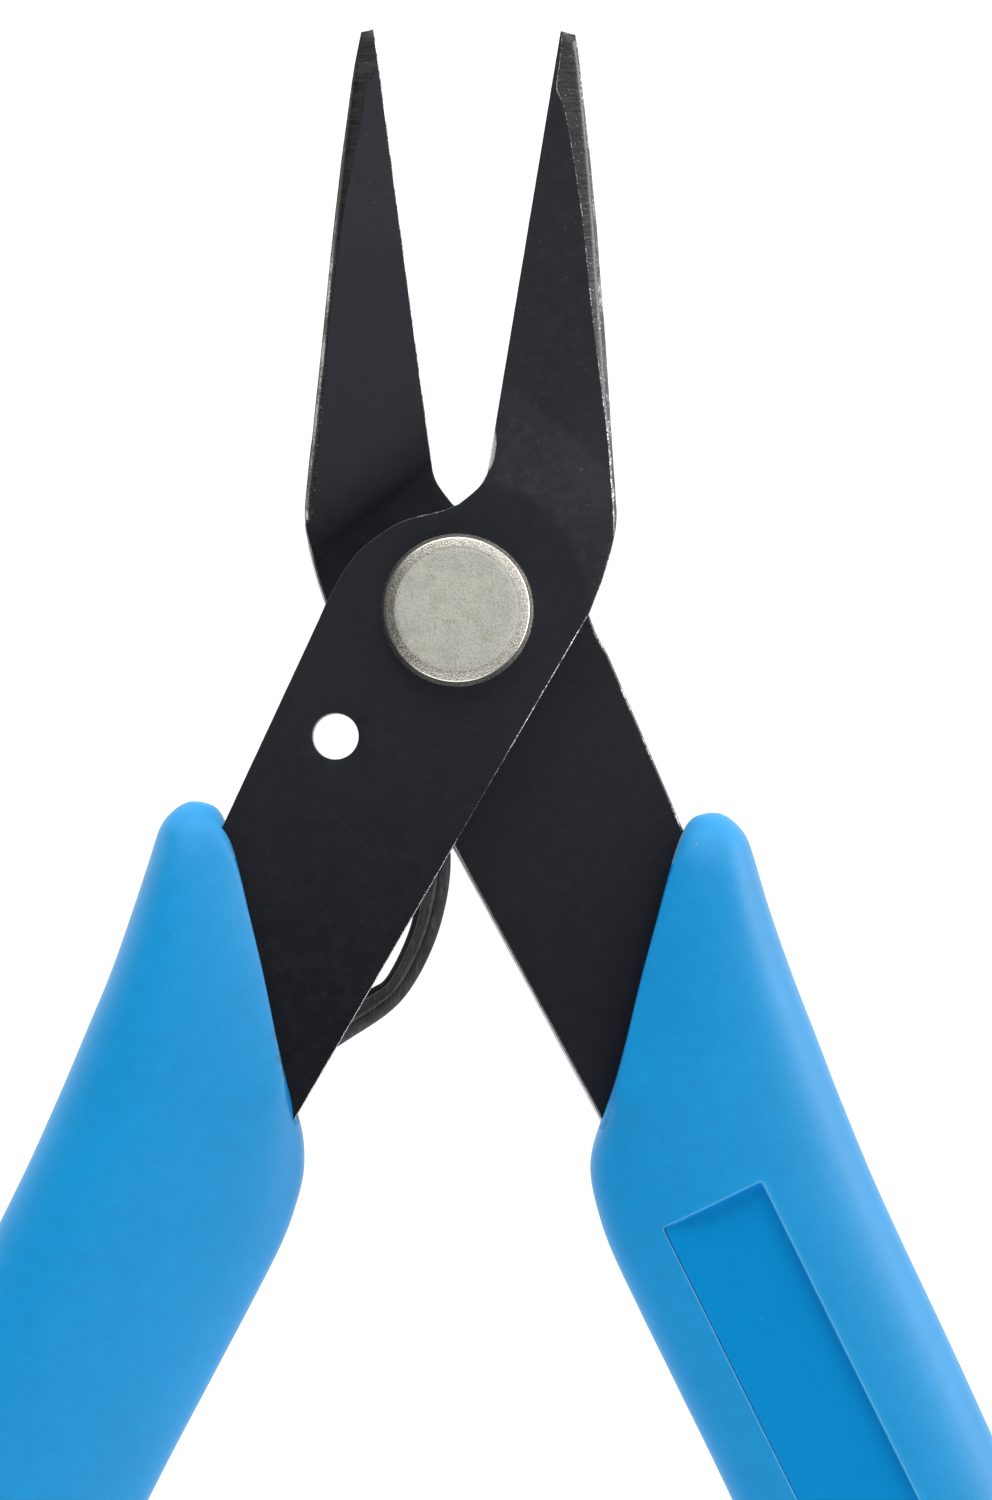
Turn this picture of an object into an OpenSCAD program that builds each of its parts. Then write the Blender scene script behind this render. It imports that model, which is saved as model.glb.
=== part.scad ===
// Spring-return long-nose pliers: two lapped steel levers on one rivet,
// two moulded rubber grips and a moulded leaf spring.
// Drawn in millimetres, lying flat: +X right, +Y towards the jaw tips, +Z up
// along the pivot. The outlines below are given about the pivot axis with the
// two blades' parting plane at height 0, in the open rest position.

/* [Blades] */
// Thickness of each steel blade
plate_t = 2.4; // [2.2:0.1:2.6]
// Running gap between the two blades
film_gap = 0.04; // [0.02:0.01:0.08]
// Distance from the pivot at which the jaw starts to step to the mid-plane
step_start = 8.8; // [8.6:0.1:9.2]
// Length over which the jaw steps to the mid-plane
step_len = 4.8; // [4:0.1:5.2]
// Direction in which the step runs, measured from +X
step_dir = 50; // [48:1:52]
// Slope of the ground facets on the outside of each jaw
facet_slope = 28; // [22:1:32]
// Diameter of the accessory hole in the front blade
hole_d = 3.2; // [3:0.1:3.4]

/* [Pivot rivet] */
// Diameter of the rivet's front head
head_d = 9.9; // [9:0.1:10.4]
// Height of the rivet's front head
head_h = 1.15; // [0.9:0.05:1.4]
// Diameter of the rivet's shank
shank_d = 6.0; // [5.6:0.1:6.4]
// Diameter of the rivet's tail, which goes through the washer
tail_d = 4.4; // [4:0.1:4.8]
// Outside diameter of the washer under the peened tail
washer_d = 8.8; // [8:0.1:9.4]
// Thickness of that washer
washer_t = 0.9; // [0.7:0.1:1.1]

/* [Grips] */
// Thickness of each grip
grip_t = 10.5; // [10:0.1:11]
// Width of the recessed panel
panel_w = 7.2; // [6:0.1:7.6]
// Length of the recessed panel
panel_l = 40; // [30:1:42]
// Depth of the recessed panel below the grip's crown
panel_depth = 0.6; // [0.5:0.05:0.8]

/* [Return spring] */
// Thickness of the leaf, in the plane of the blades
spring_w = 1.9; // [1.6:0.1:2]
// Width of the leaf, along the pivot
spring_h = 1.9; // [1.6:0.1:2]

/* [Hidden] */
eps = 0.01;
fit_gap = 0.05;
half_film = film_gap / 2;
leaf_t = plate_t - half_film;          // real thickness of one blade
step_rise = (plate_t + half_film) / 2; // how far a jaw is set towards the mid-plane
tip_y = 38.07;
heel_y = -102.5;

// The origin is on the table, under the middle of the tool.
module place() translate([0, -(tip_y + heel_y) / 2, grip_t / 2]) children();

// ---------- curves ----------
function cr(a, b, c, d, t) =
    0.5 * (2 * b + (c - a) * t + (2 * a - 5 * b + 4 * c - d) * t * t
           + (3 * b - a - 3 * c + d) * t * t * t);
// Smooth curve through the points of p, n steps to a span
function curve(p, n) = let (m = len(p) - 1) concat(
    [for (i = [0 : m - 1], j = [0 : n - 1])
        cr(p[max(i - 1, 0)], p[i], p[i + 1], p[min(i + 2, m)], j / n)], [p[m]]);
function smooth(t) = let (u = min(1, max(0, t))) u * u * (3 - 2 * u);
function unit(v) = v / norm(v);
function side(p, i) = let (m = len(p) - 1,
    d = unit(p[min(i + 1, m)] - p[max(i - 1, 0)])) [-d[1], d[0]];

// ---------- blade outline (front blade, jaw to the right) ----------
jaw_tip_in = [6.13, tip_y];
jaw_root_in = [1.72, 8.9];
shoulder = [[1.72, 8.9], [1.4, 8.25], [0.75, 7.45], [0, 6.95], [-1.25, 6.5],
            [-3.85, 5.75], [-6.1, 4.2], [-7.4, 2.65], [-8.5, 0.6], [-9.2, -1]];
tang_out = [[-25.5, -37.5], [-31.2, -52], [-35.6, -65], [-38.3, -77],
            [-39.2, -85], [-38.6, -88], [-36.8, -89], [-35, -88],
            [-34.2, -84.5], [-32.8, -76], [-28.6, -64.5], [-23.5, -55],
            [-19.35, -50]];
cheek = [[8.75, 0], [9.1, 1], [9.6, 2.5], [9.98, 4], [10.22, 5.4],
         [10.27, 6.6], [10.16, 8.5], [10, 10], [9.74, 13], [9.5, 16],
         [8.98, 22], [8.38, 28], [7.63, 34], [7.05, 37.87]];
blade_outline = concat([jaw_tip_in], curve(shoulder, 4), curve(tang_out, 3),
                       curve(cheek, 3));
hole_at = [-7.9, -8.4];

// Side view of a blade across the step: s runs away from the pivot
function set_back(s) = -step_rise * smooth((s - step_start) / step_len);
step_s = concat([-160], [for (i = [0 : 10]) step_start + step_len * i / 10], [160]);
step_profile = concat(
    [for (s = step_s) [s, half_film + set_back(s)]],
    [for (i = [len(step_s) - 1 : -1 : 0])
        [step_s[i], plate_t + set_back(step_s[i])]]);

module stepped_slab()
    rotate([0, 0, step_dir]) translate([0, 160, 0]) rotate([90, 0, 0])
        linear_extrude(height = 320) polygon(step_profile);

// Ground facet on one face of the jaw's outside, starting on the line a-b
module facet(a, b) {
    d = b - a;
    translate([a[0], a[1], leaf_t / 2]) rotate([0, 0, atan2(d[1], d[0])])
        rotate([facet_slope, 0, 0]) translate([-6, -12, 0]) cube([60, 12, 12]);
}
module jaw_facets() {
    facet([9.97, 10.7], [6.07, 34.6]);
    mirror([0, 0, 1]) facet([9.97, 10.7], [6.07, 34.6]);
}

module blade(bore_d) {
    difference() {
        intersection() {
            translate([0, 0, -10]) linear_extrude(height = 20) polygon(blade_outline);
            stepped_slab();
        }
        jaw_facets();
        translate([0, 0, -5]) cylinder(d = bore_d, h = 10, $fn = 64);
    }
}

module front_blade() color("#24272c") place() difference() {
    blade(shank_d + 0.02);
    translate([hole_at[0], hole_at[1], -5]) cylinder(d = hole_d, h = 10, $fn = 48);
}

// The same blank turned over, without the accessory hole
module rear_blade() color("#24272c") place()
    rotate([0, 180, 0]) blade(shank_d + 0.06);

// ---------- rivet ----------
shank_end = -plate_t - 0.03;
washer_end = shank_end - washer_t;
head_top = plate_t + head_h;
rivet_profile = [
    [0, head_top], [head_d / 2 - 1, head_top], [head_d / 2 - 0.32, head_top - 0.22],
    [head_d / 2 - 0.04, head_top - 0.6], [head_d / 2, plate_t],
    [shank_d / 2, plate_t], [shank_d / 2, shank_end], [tail_d / 2, shank_end],
    [tail_d / 2, washer_end], [tail_d / 2 + 0.85, washer_end],
    [tail_d / 2 + 0.7, washer_end - 0.35], [tail_d / 2 + 0.2, washer_end - 0.6],
    [tail_d / 2 - 0.7, washer_end - 0.6], [0.35, washer_end - 0.3], [0, washer_end - 0.3]];
module pivot_rivet() color("#b9b9ae") place()
    rotate_extrude($fn = 96) polygon(rivet_profile);

module rivet_washer() color("#a9a9a2") place()
    rotate_extrude($fn = 96) polygon([
        [tail_d / 2 + 0.01, shank_end], [washer_d / 2, shank_end],
        [washer_d / 2, washer_end + 0.2], [washer_d / 2 - 0.2, washer_end],
        [tail_d / 2 + 0.01, washer_end]]);

// ---------- grips ----------
// Stations along the right grip: [y, inner x, outer x, half thickness as a
// share of the full one, squareness of the inner side, of the outer side].
// From -15 to -33 the inner side is the slanted mouth that the blade leaves by.
grip_st = [
    [-12.95, 16.9, 17.5, 0.1, 2, 2], [-13.2, 16.2, 18.1, 0.25, 2, 2],
    [-13.9, 15.55, 18.85, 0.45, 2.2, 2.2], [-15, 15.05, 19.45, 0.62, 4, 2.3],
    [-17, 14.3, 20.05, 0.79, 8, 2.4], [-20, 13.4, 21.05, 0.9, 9, 2.5],
    [-24, 12.35, 22.5, 0.965, 9, 2.5], [-28, 11.4, 24.05, 0.99, 9, 2.6],
    [-31.5, 10.55, 25.45, 1, 7, 2.6], [-33.8, 9.85, 26.4, 1, 4, 2.6],
    [-36, 9.45, 27.45, 1, 2.8, 2.6], [-39, 9.85, 28.8, 1, 2.6, 2.6],
    [-42, 10.9, 30.3, 1, 2.6, 2.6], [-46, 12.85, 32.25, 1, 2.6, 2.6],
    [-51, 15.4, 34.65, 1, 2.6, 2.6], [-57, 18.45, 37.4, 1, 2.6, 2.6],
    [-64, 21.8, 40.1, 1, 2.6, 2.6], [-71, 24.75, 42.2, 1, 2.6, 2.6],
    [-78, 27.2, 43.75, 1, 2.6, 2.6], [-85, 29, 44.7, 1, 2.6, 2.6],
    [-91, 30.1, 45, 1, 2.6, 2.6], [-95.5, 31, 44.6, 0.95, 2.5, 2.5],
    [-98.8, 32.3, 43.4, 0.8, 2.4, 2.4], [-101, 34, 41.8, 0.59, 2.2, 2.2],
    [-102.2, 35.8, 40.2, 0.36, 2, 2], [heel_y, 37.2, 38.8, 0.15, 2, 2]];
grip_rows = curve(grip_st, 2);
ring_n = 32;
function pow_side(v, e) = sign(v) * pow(abs(v), 2 / e);
function grip_ring(g) = [for (j = [0 : ring_n - 1])
    let (a = 360 * (j + 0.5) / ring_n, c = cos(a), s = sin(a), e = c > 0 ? g[5] : g[4])
    [(g[1] + g[2]) / 2 + (g[2] - g[1]) / 2 * pow_side(c, e), g[0],
     grip_t / 2 * g[3] * pow_side(s, e)]];
grip_pts = [for (g = grip_rows) each grip_ring(g)];
grip_k = len(grip_rows);
grip_faces = concat(
    [[for (j = [0 : ring_n - 1]) j]],
    [for (k = [0 : grip_k - 2], j = [0 : ring_n - 1])
        let (a = k * ring_n + j, b = k * ring_n + (j + 1) % ring_n)
        each [[b, a, a + ring_n], [b, a + ring_n, b + ring_n]]],
    [[for (j = [ring_n - 1 : -1 : 0]) (grip_k - 1) * ring_n + j]]);

module grip_skin() polyhedron(points = grip_pts, faces = grip_faces, convexity = 6);

// Slot for the steel tang: the blade's own outline below the pivot, with clearance
tang_slot = concat([[-9.2, -1]], curve(tang_out, 3), [[8.19, -1]]);
module tang_pocket()
    translate([0, 0, half_film - fit_gap])
        linear_extrude(height = leaf_t + 2 * fit_gap) offset(delta = fit_gap) polygon(tang_slot);

panel_at = [17.5, -39];
panel_turn = 26.7;
module panel_cut()
    translate([panel_at[0], panel_at[1], grip_t / 2 - panel_depth]) rotate([0, 0, panel_turn])
        translate([-panel_w / 2, -panel_l, 0]) cube([panel_w, panel_l, 4]);

// The left grip is the right one turned over
module left_grip() color("#2f93d8") place() difference() {
    rotate([0, 180, 0]) difference() { grip_skin(); panel_cut(); }
    tang_pocket();
    translate([0, 0, spring_z - fit_gap]) linear_extrude(height = spring_h + 2 * fit_gap)
        offset(delta = fit_gap) polygon(spring_outline);
}
module right_grip() color("#2f93d8") place() difference() {
    grip_skin();
    panel_cut();
    rotate([0, 180, 0]) tang_pocket();
}

// ---------- return spring ----------
// Middle line of the leaf: its root is held in the left grip, its foot bears
// on the inner edge of the rear blade.
spring_z = -0.25 - spring_h;
spring_line = curve([[-18.5, -35], [-15, -32.8], [-11, -30.2], [-7.9, -28],
                     [-5.75, -26.4], [-4.5, -25.6], [-3.5, -24.7], [-2.65, -23],
                     [-1.9, -21], [-1.45, -19], [-1.25, -17], [-1.3, -15.7],
                     [-1.85, -14.55]], 3);
spring_m = len(spring_line) - 1;
function foot_arc(i, n) = let (d = unit(spring_line[spring_m] - spring_line[spring_m - 1]),
    a = atan2(d[1], d[0]) - 90 + 180 * i / n)
    spring_line[spring_m] + spring_w / 2 * [cos(a), sin(a)];
spring_outline = concat(
    [for (i = [0 : spring_m - 1]) spring_line[i] - spring_w / 2 * side(spring_line, i)],
    [for (i = [0 : 8]) foot_arc(i, 8)],
    [for (i = [spring_m - 1 : -1 : 0]) spring_line[i] + spring_w / 2 * side(spring_line, i)]);
module return_spring() color("#2b2a29") place()
    translate([0, 0, spring_z]) linear_extrude(height = spring_h) polygon(spring_outline);

front_blade();
rear_blade();
pivot_rivet();
rivet_washer();
left_grip();
right_grip();
return_spring();
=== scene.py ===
import math
import bpy
import bmesh
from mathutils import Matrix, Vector, noise
from mathutils.geometry import delaunay_2d_cdt
from mathutils.kdtree import KDTree


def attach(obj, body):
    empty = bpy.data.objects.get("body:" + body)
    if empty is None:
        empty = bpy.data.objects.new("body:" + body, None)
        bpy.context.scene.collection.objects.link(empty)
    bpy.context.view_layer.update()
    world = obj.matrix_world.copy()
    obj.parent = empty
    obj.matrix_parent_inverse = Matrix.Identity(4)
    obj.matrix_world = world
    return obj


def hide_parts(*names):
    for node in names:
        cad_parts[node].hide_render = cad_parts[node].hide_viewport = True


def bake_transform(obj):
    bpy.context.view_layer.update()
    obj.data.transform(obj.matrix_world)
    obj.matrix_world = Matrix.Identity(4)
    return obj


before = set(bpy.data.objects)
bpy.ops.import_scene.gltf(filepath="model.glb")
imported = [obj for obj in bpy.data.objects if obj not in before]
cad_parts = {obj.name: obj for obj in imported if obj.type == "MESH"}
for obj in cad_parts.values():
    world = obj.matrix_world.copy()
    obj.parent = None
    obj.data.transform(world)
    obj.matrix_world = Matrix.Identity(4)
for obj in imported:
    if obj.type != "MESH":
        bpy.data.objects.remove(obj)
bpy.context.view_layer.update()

# All outlines are in millimetres about the pivot axis, with the parting plane
# of the two blades at height 0; put() takes them to the row frame in metres.
SHIFT_Y, SHIFT_Z = 32.215, 5.25
PLATE_T, HALF_FILM, STEP_RISE = 2.4, 0.02, 1.21
GRIP_H = 5.25


def put(x, y, z):
    return (x * 0.001, (y + SHIFT_Y) * 0.001, (z + SHIFT_Z) * 0.001)


# ------------------------------------------------------------------ curves
def lerp(a, b, t):
    return a + (b - a) * t


def clamp(t, lo=0.0, hi=1.0):
    return max(lo, min(hi, t))


def smooth(t):
    t = clamp(t)
    return t * t * (3 - 2 * t)


def curve(p, n):
    """Smooth curve through the points of p, n steps to a span."""
    m, out = len(p) - 1, []
    for i in range(m):
        a, b, c, d = p[max(i - 1, 0)], p[i], p[i + 1], p[min(i + 2, m)]
        for j in range(n):
            t = j / n
            out.append(tuple(
                0.5 * (2 * q + (r - o) * t + (2 * o - 5 * q + 4 * r - s) * t * t
                       + (3 * q - o - 3 * r + s) * t ** 3)
                for o, q, r, s in zip(a, b, c, d)))
    out.append(tuple(p[m]))
    return out


def spaced(p, step):
    """The polyline p with points about step apart, ends kept."""
    run = [0.0]
    for a, b in zip(p, p[1:]):
        run.append(run[-1] + math.dist(a, b))
    n = max(1, round(run[-1] / step))
    out, k = [], 0
    for i in range(n + 1):
        s = run[-1] * i / n
        while k < len(p) - 2 and run[k + 1] < s:
            k += 1
        t = (s - run[k]) / max(run[k + 1] - run[k], 1e-9)
        out.append(tuple(lerp(u, v, clamp(t)) for u, v in zip(p[k], p[k + 1])))
    return out


def inside(poly, x, y):
    hit, j = False, len(poly) - 1
    for i in range(len(poly)):
        xi, yi, xj, yj = poly[i][0], poly[i][1], poly[j][0], poly[j][1]
        if (yi > y) != (yj > y) and x < (xj - xi) * (y - yi) / (yj - yi) + xi:
            hit = not hit
        j = i
    return hit


def near_line(p, x, y):
    """(distance, signed side) of a point from the open polyline p; left is positive."""
    best, side = 1e9, 0.0
    for (ax, ay), (bx, by) in zip(p, p[1:]):
        dx, dy = bx - ax, by - ay
        t = clamp(((x - ax) * dx + (y - ay) * dy) / (dx * dx + dy * dy))
        d = math.hypot(x - ax - t * dx, y - ay - t * dy)
        if d < best - 1e-9:
            best, side = d, dx * (y - ay) - dy * (x - ax)
    return best, side


def normals_of(poly):
    """Outward mitre vectors of a closed counter-clockwise polygon."""
    out, n = [], len(poly)
    for i in range(n):
        a, b, c = poly[i - 1], poly[i], poly[(i + 1) % n]
        e1 = Vector((b[1] - a[1], a[0] - b[0])).normalized()
        e2 = Vector((c[1] - b[1], b[0] - c[0])).normalized()
        m = (e1 + e2).normalized()
        out.append(m / max(0.45, m.dot(e1)))
    return out


# ------------------------------------------------------------------ meshes
def new_object(name, verts, faces, slots, mats, sharp=None, soft_angle=30.0,
               attributes=None, weighted=True):
    """Object from points in the pivot frame; mats is the slot of each face."""
    mesh = bpy.data.meshes.new(name)
    mesh.from_pydata([put(*v) for v in verts], [], faces)
    for m in slots:
        mesh.materials.append(m)
    if mats:
        mesh.polygons.foreach_set("material_index", mats)
    mesh.polygons.foreach_set("use_smooth", [True] * len(mesh.polygons))
    for key, values in (attributes or {}).items():
        a = mesh.attributes.new(key, "FLOAT", "POINT")
        a.data.foreach_set("value", values)
    mesh.update()
    mesh.set_sharp_from_angle(angle=math.radians(soft_angle))
    if sharp:
        marks = mesh.attributes["sharp_edge"].data if "sharp_edge" in mesh.attributes else \
            mesh.attributes.new("sharp_edge", "BOOLEAN", "EDGE").data
        for e in mesh.edges:
            if tuple(sorted(e.vertices)) in sharp:
                marks[e.index].value = True
    o = bpy.data.objects.new(name, mesh)
    bpy.context.scene.collection.objects.link(o)
    if weighted:
        w = o.modifiers.new("face_weight", "WEIGHTED_NORMAL")
        w.keep_sharp = True
        w.weight = 60
    return o


def fill(loops, lines, points, keep):
    """Triangles over closed loops, open lines and free points, in plan.
    Returns points, triangles and, for each input point, its output index."""
    flat, edges = [], []
    for loop in loops:
        k = len(flat)
        flat += [Vector(p[:2]) for p in loop]
        edges += [(k + i, k + (i + 1) % len(loop)) for i in range(len(loop))]
    for line in lines:
        k = len(flat)
        flat += [Vector(p[:2]) for p in line]
        edges += [(k + i, k + i + 1) for i in range(len(line) - 1)]
    flat += [Vector(p[:2]) for p in points]
    co, _, tris, src, _, _ = delaunay_2d_cdt(flat, edges, [], 0, 1e-5)
    where = {}
    for i, olds in enumerate(src):
        for old in olds:
            where[old] = i
    walls = {frozenset((where[a], where[b])) for a, b in edges[:sum(len(loop) for loop in loops)]}
    beside = {}
    for k, t in enumerate(tris):
        for i in range(3):
            beside.setdefault(frozenset((t[i], t[(i + 1) % 3])), []).append(k)
    size = [abs((co[b][0] - co[a][0]) * (co[c][1] - co[a][1]) - (co[b][1] - co[a][1]) * (co[c][0] - co[a][0]))
            for a, b, c in tris]
    out, seen = [], [False] * len(tris)
    for first in range(len(tris)):
        if seen[first]:
            continue
        seen[first] = True
        region, todo = [], [first]
        while todo:
            k = todo.pop()
            region.append(k)
            for i in range(3):
                e = frozenset((tris[k][i], tris[k][(i + 1) % 3]))
                if e not in walls:
                    for j in beside[e]:
                        if not seen[j]:
                            seen[j] = True
                            todo.append(j)
        best = max(region, key=lambda k: size[k])
        big = tris[best]
        if size[best] > 1e-5 and keep(sum(co[i][0] for i in big) / 3, sum(co[i][1] for i in big) / 3):
            out += [tuple(tris[k]) for k in region]
    return [(c[0], c[1]) for c in co], out, where


def circle(cx, cy, r, n, start=0.0):
    return [(cx + r * math.cos(start + 2 * math.pi * i / n),
             cy + r * math.sin(start + 2 * math.pi * i / n)) for i in range(n)]


# --------------------------------------------------------------- materials
class Nodes:
    def __init__(self, name):
        self.mat = bpy.data.materials.new(name)
        self.mat.use_nodes = True
        self.tree = self.mat.node_tree
        self.tree.nodes.clear()
        self.out = self.add("ShaderNodeOutputMaterial")
        self.co = self.add("ShaderNodeTexCoord").outputs["Object"]

    def add(self, kind, **props):
        n = self.tree.nodes.new(kind)
        for k, v in props.items():
            setattr(n, k, v)
        return n

    def put(self, socket, value):
        if isinstance(value, bpy.types.NodeSocket):
            self.tree.links.new(value, socket)
        else:
            socket.default_value = value

    def stretch(self, scale, turn=(0, 0, 0)):
        m = self.add("ShaderNodeMapping")
        self.put(m.inputs["Vector"], self.co)
        m.inputs["Scale"].default_value = scale
        m.inputs["Rotation"].default_value = turn
        return m.outputs["Vector"]

    def noise(self, scale, detail=4.0, rough=0.55, warp=0.0, co=None):
        n = self.add("ShaderNodeTexNoise")
        self.put(n.inputs["Vector"], self.co if co is None else co)
        n.inputs["Scale"].default_value = scale
        n.inputs["Detail"].default_value = detail
        n.inputs["Roughness"].default_value = rough
        n.inputs["Distortion"].default_value = warp
        return n.outputs["Fac"]

    def cells(self, scale, co=None):
        n = self.add("ShaderNodeTexVoronoi")
        self.put(n.inputs["Vector"], self.co if co is None else co)
        n.inputs["Scale"].default_value = scale
        return n.outputs["Distance"]

    def span(self, value, lo, hi, a=0.0, b=1.0):
        n = self.add("ShaderNodeMapRange")
        n.clamp = True
        self.put(n.inputs["Value"], value)
        for k, v in (("From Min", lo), ("From Max", hi), ("To Min", a), ("To Max", b)):
            n.inputs[k].default_value = v
        return n.outputs["Result"]

    def math(self, op, a, b=0.0):
        n = self.add("ShaderNodeMath", operation=op)
        self.put(n.inputs[0], a)
        self.put(n.inputs[1], b)
        return n.outputs[0]

    def mix(self, fac, a, b):
        n = self.add("ShaderNodeMix", data_type="RGBA")
        self.put(n.inputs[0], fac)
        self.put(n.inputs[6], a)
        self.put(n.inputs[7], b)
        return n.outputs[2]

    def blend(self, fac, a, b):
        n = self.add("ShaderNodeMix", data_type="FLOAT")
        self.put(n.inputs[0], fac)
        self.put(n.inputs[2], a)
        self.put(n.inputs[3], b)
        return n.outputs[0]

    def attr(self, name):
        return self.add("ShaderNodeAttribute", attribute_name=name).outputs["Fac"]

    def bump(self, height, distance, strength=1.0, normal=None):
        n = self.add("ShaderNodeBump")
        n.inputs["Strength"].default_value = strength
        n.inputs["Distance"].default_value = distance
        self.put(n.inputs["Height"], height)
        if normal is not None:
            self.put(n.inputs["Normal"], normal)
        return n.outputs["Normal"]

    def shader(self, **sockets):
        p = self.add("ShaderNodeBsdfPrincipled")
        for k, v in sockets.items():
            self.put(p.inputs[k.replace("_", " ")], v)
        self.tree.links.new(p.outputs[0], self.out.inputs["Surface"])
        return self.mat


def rgb(r, g, b):
    return (r, g, b, 1.0)


def make_oxide():
    """Blackened steel: blue-black, lightly mottled and speckled, more so on the jaws; the tone attribute lightens it
    towards the jaws, and also carries painted shade across the rear blade's step and a painted highlight on the front
    blade's step.
    """
    n = Nodes("black_oxide_steel")
    cloud = n.noise(260, 5, 0.6, 0.4)
    patch = n.noise(1100, 5, 0.62)
    grain = n.noise(5200, 3, 0.6)
    jaw = n.attr("jaw")
    tone = n.attr("tone")
    warm = n.mix(n.span(cloud, 0.35, 0.68), rgb(0.0032, 0.0048, 0.0086), rgb(0.0056, 0.0066, 0.0100))
    # tone attribute: partly tone along the blade, partly painted shade and painted highlight on the steps
    warm = n.mix(tone, warm, rgb(0.0440, 0.0460, 0.0560))
    mott = n.math("MULTIPLY", n.span(patch, 0.46, 0.74), n.span(jaw, 0, 1, 0.18, 1.0))
    col = n.mix(mott, warm, rgb(0.030, 0.0295, 0.0325))
    spec = n.span(n.noise(3300, 2, 0.5), 0.66, 0.80)
    spec = n.math("MULTIPLY", spec, n.span(jaw, 0, 1, 0.10, 0.55))
    col = n.mix(spec, col, rgb(0.10, 0.098, 0.095))
    rough = n.math("ADD", n.span(grain, 0.3, 0.7, 0.36, 0.50), n.span(patch, 0.35, 0.7, -0.04, 0.08))
    nor = n.bump(grain, 0.000012, 1.0)
    nor = n.bump(patch, 0.000012, 0.6, nor)
    return n.shader(Base_Color=col, Roughness=rough, Normal=nor, Metallic=0.0, Specular_IOR_Level=0.2)


def make_ground(name, painted_shade):
    """Ground outside of the jaws: darkened, with fine grinding lines across the jaw and bright specks; the second
    argument sets how much painted shade darkens it where the jaw attribute is high.
    """
    n = Nodes(name)
    lines = n.noise(1.0, 2, 0.6, co=n.stretch((700, 8200, 700)))
    broad = n.noise(1.0, 3, 0.6, co=n.stretch((400, 2400, 400)))
    pits = n.noise(7600, 2, 0.6)
    tone = n.math("ADD", n.math("MULTIPLY", lines, 0.6), n.math("MULTIPLY", pits, 0.4))
    col = n.mix(n.span(tone, 0.38, 0.62), rgb(0.008, 0.008, 0.0085), rgb(0.062, 0.061, 0.060))
    col = n.mix(n.span(broad, 0.52, 0.72, 0, 0.3), col, rgb(0.016, 0.016, 0.0165))
    spark = n.span(n.noise(7000, 1, 0.5), 0.70, 0.77)
    col = n.mix(spark, col, rgb(0.48, 0.47, 0.45))
    # painted shade: darker where the jaw attribute is high, far more on the rear jaw's copy
    col = n.mix(n.span(n.attr("jaw"), 0.3, 1.0, 0.0, painted_shade), col, rgb(0.013, 0.013, 0.014))
    rough = n.span(lines, 0.3, 0.7, 0.34, 0.50)
    nor = n.bump(lines, 0.000010, 1.0)
    nor = n.bump(pits, 0.000008, 0.8, nor)
    return n.shader(Base_Color=col, Roughness=rough, Normal=nor, Metallic=n.span(spark, 0, 1, 0.2, 0.9), Specular_IOR_Level=0.6)


def make_edge():
    """Edges and sheared sides of the blades: oxide worn through to bright steel in places."""
    n = Nodes("worn_edge_steel")
    wear = n.attr("wear")
    fine = n.noise(7000, 2, 0.65)
    slow = n.noise(620, 3, 0.6)
    streak = n.noise(1.0, 3, 0.6, co=n.stretch((5200, 5200, 300)))
    level = n.math("ADD", n.math("MULTIPLY", fine, 0.5), n.math("MULTIPLY", slow, 0.5))
    bare = n.span(n.math("ADD", level, n.span(wear, 0, 1, -0.42, 0.32)), 0.47, 0.60)
    col = n.mix(bare, rgb(0.016, 0.017, 0.020), rgb(0.50, 0.50, 0.48))
    col = n.mix(n.span(streak, 0.4, 0.7, 0, 0.35), col, rgb(0.10, 0.10, 0.10))
    rough = n.span(fine, 0.3, 0.7, 0.26, 0.46)
    nor = n.bump(streak, 0.000016, 1.0)
    return n.shader(Base_Color=col, Roughness=rough, Normal=nor,
                    Metallic=n.span(bare, 0, 1, 0.25, 0.95), Specular_IOR_Level=0.5)


def make_rivet(name, bright, dark, rough_lo, rough_hi, grain_bump, speck, grain_size=6500):
    n = Nodes(name)
    cloud = n.noise(330, 4, 0.6, 0.3)
    patch = n.noise(1300, 4, 0.6)
    grain = n.noise(grain_size, 2, 0.6)
    tone = n.math("ADD", n.math("MULTIPLY", cloud, 0.6), n.math("MULTIPLY", patch, 0.4))
    col = n.mix(n.span(tone, 0.36, 0.66), dark, bright)
    col = n.mix(n.math("MULTIPLY", n.span(n.noise(900, 2, 0.5), 0.5, 0.7), 0.35), col, rgb(0.55, 0.53, 0.43))
    col = n.mix(n.math("MULTIPLY", n.span(grain, 0.46, 0.32), speck), col, rgb(0.20, 0.19, 0.17))
    rough = n.span(grain, 0.3, 0.7, rough_lo, rough_hi)
    nor = n.bump(grain, grain_bump, 1.0)
    nor = n.bump(patch, 0.000008, 0.7, nor)
    return n.shader(Base_Color=col, Roughness=rough, Normal=nor, Metallic=1.0)


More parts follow.
